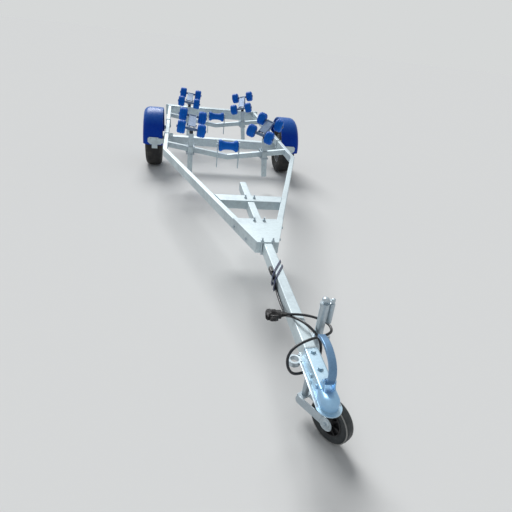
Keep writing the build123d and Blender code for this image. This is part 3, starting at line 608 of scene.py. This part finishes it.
# Mudguards, rolled from 4 mm dark blue plastic with a glossy outer face, on folded
# galvanised stays that are clamped to the rails. Domed bolts hold them to the stays. Their
# tops turn paler blue, a painted highlight of the sky's sheen.
guard_blue, tree, shader, place = new_material("mudguard_plastic", 0.26)
blue = blend_colours(tree, noise(tree, place, 6), (0.001, 0.032, 0.33), (0.001, 0.056, 0.46))
film = spread(tree, noise(tree, place, 15, 7, 0.62), 0.52, 0.85, 0.0, 0.10)
sheen_start, sheen_full = 0.500, 0.648
height = tree.nodes.new("ShaderNodeSeparateXYZ")
tree.links.new(place, height.inputs["Vector"])
# painted highlight: the blue turns paler towards the guard's top, standing in for the sky's sheen
painted_top_sheen = spread(tree, height.outputs["Z"], sheen_start, sheen_full, 0.0, 0.40)
blue_with_painted_sheen = blend_colours(tree, painted_top_sheen, blue, (0.06, 0.30, 0.72))
colour_surface(tree, shader, film, blue_with_painted_sheen, (0.05, 0.11, 0.28))
vary_gloss(tree, shader, place, 30, 0.20, 0.40)
shader.inputs["Specular IOR Level"].default_value = 0.09
shader.inputs["Sheen Weight"].default_value = 0.2
shader.inputs["Sheen Roughness"].default_value = 0.25
shader.inputs["Sheen Tint"].default_value = (0.40, 0.65, 1.0, 1)
raise_grain(tree, shader, noise(tree, place, 350), 0.06)
# the guard's section from its inner edge to its outer one: distance across and drop
guard_section = ((0.0, 0.016), (0.0, 0.005), (0.003, 0.001), (0.008, 0.0), (0.080, -0.001),
                 (0.144, 0.0), (0.164, 0.003), (0.182, 0.010), (0.196, 0.021), (0.206, 0.034),
                 (0.2105, 0.047), (0.212, 0.060))
guard_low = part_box("mudguard_right")[0]
guard_width = 0.212
guard_sheet = 0.004
guard_foot = 0.305
guard_bend = 0.100
guard_turn = math.radians(15)
guard_reach = 0.3615
guard_back = guard_reach * math.cos(guard_turn) + guard_bend * (1 - math.cos(guard_turn))
guard_knee = tyre_middle.z + (guard_reach - guard_bend) * math.sin(guard_turn)
guard_start = (guard_low.x + guard_width / 2, tyre_middle.y - guard_back, (guard_foot + guard_knee) / 2)
bpy.ops.object.select_all(action="DESELECT")
bpy.ops.mesh.primitive_grid_add(x_subdivisions=len(guard_section) - 1, y_subdivisions=1, size=1,
                                rotation=(math.pi / 2, 0, 0), location=guard_start)
guard = bpy.context.object
guard.name = "mudguard_shell_right"
guard.data.name = guard.name
guard.scale = (guard_width, guard_knee - guard_foot, 1)
bpy.ops.object.transform_apply(location=True, rotation=True, scale=True)
for column, (across, inward) in enumerate(guard_section):
    now = guard_low.x + guard_width * column / (len(guard_section) - 1)
    bpy.ops.object.mode_set(mode="EDIT")
    bpy.ops.mesh.select_mode(type="VERT")
    bpy.ops.mesh.select_all(action="DESELECT")
    bpy.ops.object.mode_set(mode="OBJECT")
    for corner in guard.data.vertices:
        in_column = abs(corner.co.x - now) < 0.0005
        corner.select = in_column and abs(corner.co.y - tyre_middle.y + guard_back) < 0.00005
    bpy.ops.object.mode_set(mode="EDIT")
    bpy.ops.transform.translate(value=(guard_low.x + across - now, inward if inward else 0.0001, 0))
    bpy.ops.object.mode_set(mode="OBJECT")
bpy.ops.object.mode_set(mode="EDIT")
bpy.ops.mesh.select_mode(type="EDGE")
bpy.ops.mesh.select_all(action="DESELECT")
bpy.ops.object.mode_set(mode="OBJECT")
for edge in guard.data.edges:
    edge.select = all(guard.data.vertices[i].co.z > guard_knee - 0.0005 for i in edge.vertices)
bpy.ops.object.mode_set(mode="EDIT")
bend_y = guard_back - guard_bend
front_bend = (0, tyre_middle.y - bend_y, guard_knee)
rear_bend = (0, tyre_middle.y + bend_y, guard_knee)
bpy.ops.mesh.spin(steps=3, angle=guard_turn, axis=(1, 0, 0), center=front_bend)
bpy.ops.mesh.spin(steps=48, angle=math.pi - 2 * guard_turn, axis=(1, 0, 0), center=tyre_middle)
bpy.ops.mesh.spin(steps=3, angle=guard_turn, axis=(1, 0, 0), center=rear_bend)
bpy.ops.mesh.extrude_region_move(TRANSFORM_OT_translate={"value": (0, 0, guard_foot - guard_knee)})
bpy.ops.mesh.select_all(action="SELECT")
bpy.ops.mesh.remove_doubles(threshold=0.00002)
bpy.ops.mesh.normals_make_consistent(inside=False)
bpy.ops.object.mode_set(mode="OBJECT")
shell = guard.modifiers.new("shell", "SOLIDIFY")
shell.thickness = guard_sheet
shell.offset = -1
bpy.ops.object.modifier_apply(modifier="shell")
edge_round = guard.modifiers.new("edge_round", "BEVEL")
edge_round.width = 0.0012
edge_round.segments = 2
edge_round.limit_method = "ANGLE"
edge_round.angle_limit = math.radians(50)
bpy.ops.object.modifier_apply(modifier="edge_round")
for piece, side in ((guard, "right"), (copy_across(guard, "mudguard_shell_left"), "left")):
    dress(piece, guard_blue, "chassis", 40)
    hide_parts("mudguard_" + side)
coat(["mudguard_stays"], galvanised)
ease_edges(["mudguard_stays"], plate_edge)
stay_low, stay_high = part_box("mudguard_stays")
guard_bolt_offsets = (-0.040, 0.022)
guard_bolt_drop = 0.010
guard_bolts = []
for side in (-1, 1):
    for face_y, out in ((stay_low.y, -1), (stay_high.y, 1)):
        for off in guard_bolt_offsets:
            spot = (side * (-tyre_middle.x + off), face_y, stay_high.z - guard_bolt_drop)
            guard_bolts.append(run_rings("dome", spot, (0, out, 0), dome, 20))
dress(join_pieces("mudguard_bolts", guard_bolts), plated, "chassis", 40)

# Posts with their heads and tilting rockers, and the flat bars that hold the keel
# rollers, all galvanised. Heads and rockers carry a slate blue that is a painted reflection
# of the sky. Black collars sit between posts and heads.
coat(["roller_posts", "keel_bracket_front", "keel_bracket_rear"], galvanised)
sets = [end + "_" + side for end in ("front", "rear") for side in ("left", "right")]
# the slate blue of this zinc is a painted reflection of the sky
zinc_with_painted_sky_blue = zinc_coat("zinc_with_painted_sky_blue", (0.12, 0.18, 0.28), (0.19, 0.27, 0.41), 0.55, 0.35, 200)
coat(["roller_heads"] + ["rocker_" + name for name in sets], zinc_with_painted_sky_blue)
coat(["post_collars"], black_plastic)

# Rollers of soft blue plastic on round pins, a little dusty, and scuffed where the hull
# runs on them.
roller_blue, tree, shader, place = new_material("roller_plastic", 0.42)
shader.inputs["Specular IOR Level"].default_value = 0.15
blue = blend_colours(tree, noise(tree, place, 9), (0.001, 0.106, 0.53), (0.002, 0.166, 0.70))
scuffs = spread(tree, noise(tree, place, 26, 7, 0.65), 0.54, 0.82, 0.0, 0.30)
colour_surface(tree, shader, scuffs, blue, (0.05, 0.21, 0.50))
vary_gloss(tree, shader, place, 70, 0.32, 0.55)
raise_grain(tree, shader, noise(tree, place, 500), 0.12)
coat(["keel_roller_front", "keel_roller_rear"], roller_blue)
coat(["rollers_%s_%s" % (name, end) for name in sets for end in "ab"], roller_blue)

# Rear lamps: black housings in the light board, each with a ribbed red lens and an amber
# one on the outside.
lamp_low, lamp_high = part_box("tail_lamps")
lamp_width = 0.170
lamp_seat = board_low.y + 0.0031
lens_depth = 0.024
lens_edge = 0.004
lens_rim = 0.003
lens_rib_pitch = 0.0065
lens_rib_gap = 0.0009
lens_margin = 0.005
amber_start = 0.052
red_end = 0.054
lens_face = lamp_high.y
lens_back = lens_face - lens_depth
lamp_inner = lamp_high.x - lamp_width


def make_lens(name, x0, x1):
    """lens block with fine upright ribs on its rear face"""
    parts = [soft_block(name, (x0, lens_back - lens_edge, lamp_low.z + lens_edge),
                        (x1, lens_face - 0.0012, lamp_high.z - lens_edge), lens_edge)]
    count = int((x1 - x0 - 2 * lens_margin) / lens_rib_pitch)
    step = (x1 - x0 - 2 * lens_margin) / count
    for i in range(count):
        x = x0 + lens_margin + i * step
        parts.append(soft_block("rib", (x + lens_rib_gap, lens_face - lens_edge, lamp_low.z + 0.010),
                                (x + step - lens_rib_gap, lens_face, lamp_high.z - 0.010), 0.0012, 2))
    return join_pieces(name, parts)


def lens_material(name, deep, pale):
    """glossy coloured lens"""
    material, tree, shader, place = new_material(name, 0.14)
    colour_surface(tree, shader, noise(tree, place, 40), deep, pale)
    vary_gloss(tree, shader, place, 90, 0.10, 0.22)
    shader.inputs["Coat Weight"].default_value = 0.4
    raise_grain(tree, shader, noise(tree, place, 150), 0.05)
    return material


lens_red = lens_material("red_lens", (0.40, 0.010, 0.010), (0.55, 0.020, 0.018))
lens_amber = lens_material("amber_lens", (0.72, 0.20, 0.010), (0.85, 0.28, 0.020))
housing = soft_block("lamp_housing_right", (lamp_inner, lamp_seat, lamp_low.z),
                     (lamp_high.x, lens_back, lamp_high.z), 0.006)
red = make_lens("red_lens_right", lamp_inner + lens_rim, lamp_high.x - red_end)
amber = make_lens("amber_lens_right", lamp_high.x - amber_start, lamp_high.x - lens_rim)
for piece, twin, material, slot in ((housing, "lamp_housing_left", black_plastic, "black_plastic"),
                                    (red, "red_lens_left", lens_red, "lamp_red"),
                                    (amber, "amber_lens_left", lens_amber, "lamp_red")):
    for one in (piece, copy_across(piece, twin)):
        dress(one, material, "chassis", 40)
        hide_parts("tail_lamps")

# Number plate, a blank white pressed sheet with a raised rim, held to the light board by
# two screws.
plate_white, tree, shader, place = new_material("plate_paint", 0.35)
dirt = spread(tree, noise(tree, place, 14, 7, 0.65), 0.50, 0.80, 0.0, 0.4)
colour_surface(tree, shader, dirt, (0.74, 0.75, 0.74), (0.42, 0.40, 0.35))
raise_grain(tree, shader, noise(tree, place, 300), 0.05)
plate_half_width = 0.26
plate_half_height = 0.055
plate_sheet = 0.0024
rim_width = 0.005
rim_slope = 0.0015
rim_height = 0.0012
screw_x = 0.19
plate_y = board_low.y + 0.003
plate_z = (board_low.z + board_high.z) / 2
plate = soft_block("number_plate", (-plate_half_width, plate_y, plate_z - plate_half_height),
                   (plate_half_width, plate_y + plate_sheet, plate_z + plate_half_height), 0.0008, 2)
bpy.ops.object.mode_set(mode="EDIT")
bpy.ops.mesh.select_mode(type="FACE")
bpy.ops.mesh.select_all(action="DESELECT")
bpy.ops.object.mode_set(mode="OBJECT")
for face in plate.data.polygons:
    face.select = face.normal.y > 0.99 and face.area > 0.01
bpy.ops.object.mode_set(mode="EDIT")
bpy.ops.mesh.inset(thickness=rim_width, depth=0)
bpy.ops.mesh.inset(thickness=rim_slope, depth=-rim_height)
bpy.ops.object.mode_set(mode="OBJECT")
dress(plate, plate_white, "chassis")
screws = [run_rings("screw", (x, plate_y + 0.001, plate_z), (0, 1, 0), dome, 20) for x in (-screw_x, screw_x)]
dress(join_pieces("plate_screws", screws), plated, "chassis", 40)

# Coupling head of pressed steel with its arched release lever, in bluish zinc. A deeper
# blue over the dome is a painted reflection of the sky. A flange runs along both sides of
# the body into the round plate below the dome.
blue_zinc = zinc_coat("blue_zinc", (0.36, 0.50, 0.60), (0.58, 0.74, 0.84), 0.38, 0.80, 260)
dome_start, dome_full = -2.690, -2.735
dome_foot, dome_shoulder = 0.407, 0.416
tree = blue_zinc.node_tree
shader = tree.nodes["Principled BSDF"]
coated = shader.inputs["Base Color"].links[0].from_socket
along = tree.nodes.new("ShaderNodeSeparateXYZ")
tree.links.new(tree.nodes["Texture Coordinate"].outputs["Object"], along.inputs["Vector"])
# painted reflection: a deeper sky blue painted over the dome, by its place along and up
painted_sky_reflection = tree.nodes.new("ShaderNodeMath")
painted_sky_reflection.operation = "MULTIPLY"
tree.links.new(spread(tree, along.outputs["Y"], dome_start, dome_full), painted_sky_reflection.inputs[0])
tree.links.new(spread(tree, along.outputs["Z"], dome_foot, dome_shoulder, 0.2, 0.8), painted_sky_reflection.inputs[1])
colour_surface(tree, shader, painted_sky_reflection.outputs[0], coated, (0.30, 0.54, 0.80))
coat(["coupling_body"], blue_zinc)
lever_zinc = zinc_coat("lever_zinc", (0.11, 0.22, 0.37), (0.20, 0.35, 0.55), 0.32, 0.60, 260)
coat(["coupling_lever"], lever_zinc)
coupling_low, coupling_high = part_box("coupling_body")
ball_y = coupling_low.y - coupling_low.x
flange_inner = 0.0335
flange_front = ball_y - 0.004
flange_rear = coupling_high.y - 0.026
flange_top = coupling_low.z + 0.0042
flanges = []
for side in (-1, 1):
    left, right = sorted((side * flange_inner, side * coupling_high.x))
    flanges.append(soft_block("flange", (left, flange_front, coupling_low.z),
                              (right, flange_rear, flange_top), 0.0014, 2))
dress(join_pieces("coupling_flanges", flanges), plated, "chassis")

# Jockey wheel: plated clamp, tubes, fork and crank. The fork's blades end in round pressed
# plates with the axle's nuts. The black wheel has ribs and a solid tyre. Pale grey rings on
# the tread's edges are a painted highlight.
coat(["jockey_clamp", "jockey_tube", "jockey_leg", "jockey_fork", "jockey_crank", "prop_clamp"], plated)
jockey_rubber, tree, shader, place = new_material("jockey_rubber", 0.45)
dust = spread(tree, noise(tree, place, 30, 7, 0.65), 0.48, 0.80, 0.0, 0.5)
colour_surface(tree, shader, dust, (0.020, 0.026, 0.030), (0.090, 0.095, 0.090))
vary_gloss(tree, shader, place, 80, 0.38, 0.60)
raise_grain(tree, shader, noise(tree, place, 600), 0.12)
coat(["jockey_tyre"], jockey_rubber)
coat(["jockey_rim"], black_plastic)
low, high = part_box("jockey_tyre")
jockey_hub = (low + high) / 2
jockey_turn = math.radians(30)
jockey_place = Matrix.Translation(jockey_hub) @ Matrix.Rotation(jockey_turn, 4, "Z")


def set_on_wheel(pieces):
    """moves pieces made about the origin to the jockey wheel's hub"""
    for piece in pieces:
        piece.matrix_world = jockey_place @ piece.matrix_world
        bpy.ops.object.select_all(action="DESELECT")
        piece.select_set(True)
        bpy.context.view_layer.objects.active = piece
        bpy.ops.object.transform_apply(location=True, rotation=True, scale=True)
    return pieces


rib_count = 8
rib_half_sheet = 0.0018
rib_inner, rib_outer = 0.024, 0.060
rib_web, rib_face = 0.008, 0.0215
ribs = []
for side in (-1, 1):
    left, right = sorted((side * rib_web, side * rib_face))
    for i in range(rib_count):
        rib = soft_block("rib", (left, -rib_half_sheet, rib_inner), (right, rib_half_sheet, rib_outer),
                         0.0008, 2)
        rib.matrix_world = Matrix.Rotation(i * 2 * math.pi / rib_count, 4, "X")
        ribs.append(rib)
dress(join_pieces("jockey_wheel_ribs", set_on_wheel(ribs)), black_plastic, "caster_wheel")
# painted highlight: pale grey rubber for the rings on the tread's edges, where light catches them
edge_highlight_rubber, tree, shader, place = new_material("edge_highlight_rubber", 0.7)
colour_surface(tree, shader, noise(tree, place, 60, 6, 0.6), (0.18, 0.185, 0.185), (0.45, 0.45, 0.43))
raise_grain(tree, shader, noise(tree, place, 500), 0.2)
edge_section = ((0.0180, 0.0955), (0.0176, 0.0972), (0.0188, 0.0984), (0.0206, 0.0972),
                (0.0216, 0.0938), (0.0180, 0.0955))
edges = [turn_profile("edge", (0, 0, 0), [(side * x, r) for x, r in edge_section], 72) for side in (-1, 1)]
highlight_edges = join_pieces("jockey_tyre_edges", set_on_wheel(edges))
bpy.ops.object.mode_set(mode="EDIT")
bpy.ops.mesh.select_all(action="SELECT")
bpy.ops.mesh.normals_make_consistent(inside=False)
bpy.ops.object.mode_set(mode="OBJECT")
dress(highlight_edges, edge_highlight_rubber, "caster_wheel", 40)
blade_face = 0.0361
nut_seat = 0.0429
end_plate = ((0, 0.0310), (0.0020, 0.0325), (0.0044, 0.0318), (0.0046, 0.0296), (0.0030, 0.0284),
             (0.0028, 0.0200), (0.0058, 0.0172), (0.0064, 0.0125), (0.0072, 0.0120))
axle_nut = ((0, 0.0098), (0.0062, 0.0098), (0.0072, 0.0086), (0.0074, 0.0056), (0.0098, 0.0052),
            (0.0102, 0.0040))
end_plates = [run_rings("end_plate", (side * blade_face, 0, 0), (side, 0, 0), end_plate, 40)
              for side in (-1, 1)]
nuts = [run_rings("nut", (side * nut_seat, 0, 0), (side, 0, 0), axle_nut, 6) for side in (-1, 1)]
dress(join_pieces("jockey_end_plates", set_on_wheel(end_plates + nuts)), plated, "fork", 25)

# Crank of plated steel on top of the mast. A domed nut holds it on its spindle, and a
# loose tube on its pin is the grip.
crank_low, crank_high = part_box("jockey_crank")
mast_low, mast_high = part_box("jockey_tube")
spindle = Vector(((mast_low.x + mast_high.x) / 2, (mast_low.y + mast_high.y) / 2, crank_high.z - 0.002))
grip_throw = 0.0315
grip_x = spindle.x + grip_throw
nut_rings = ((0, 0.0150), (0.0040, 0.0150), (0.0080, 0.0128), (0.0110, 0.0088), (0.0124, 0.0040))
grip_rings = ((0, 0.0080), (0.0012, 0.0102), (0.0030, 0.0108), (0.0900, 0.0108), (0.0918, 0.0102),
              (0.0930, 0.0080))
cap_rings = ((0, 0.0085), (0.0030, 0.0085), (0.0058, 0.0066), (0.0068, 0.0030))
crank_nut = run_rings("crank_nut", spindle, (0, 0, 1), nut_rings, 24)
grip = run_rings("grip", (grip_x, spindle.y, crank_low.z - 0.002), (0, 0, 1), grip_rings, 28)
grip_cap = run_rings("grip_cap", (grip_x, spindle.y, crank_high.z - 0.002), (0, 0, 1), cap_rings, 20)
dress(join_pieces("crank_fittings", [crank_nut, grip, grip_cap]), plated, "crank", 40)
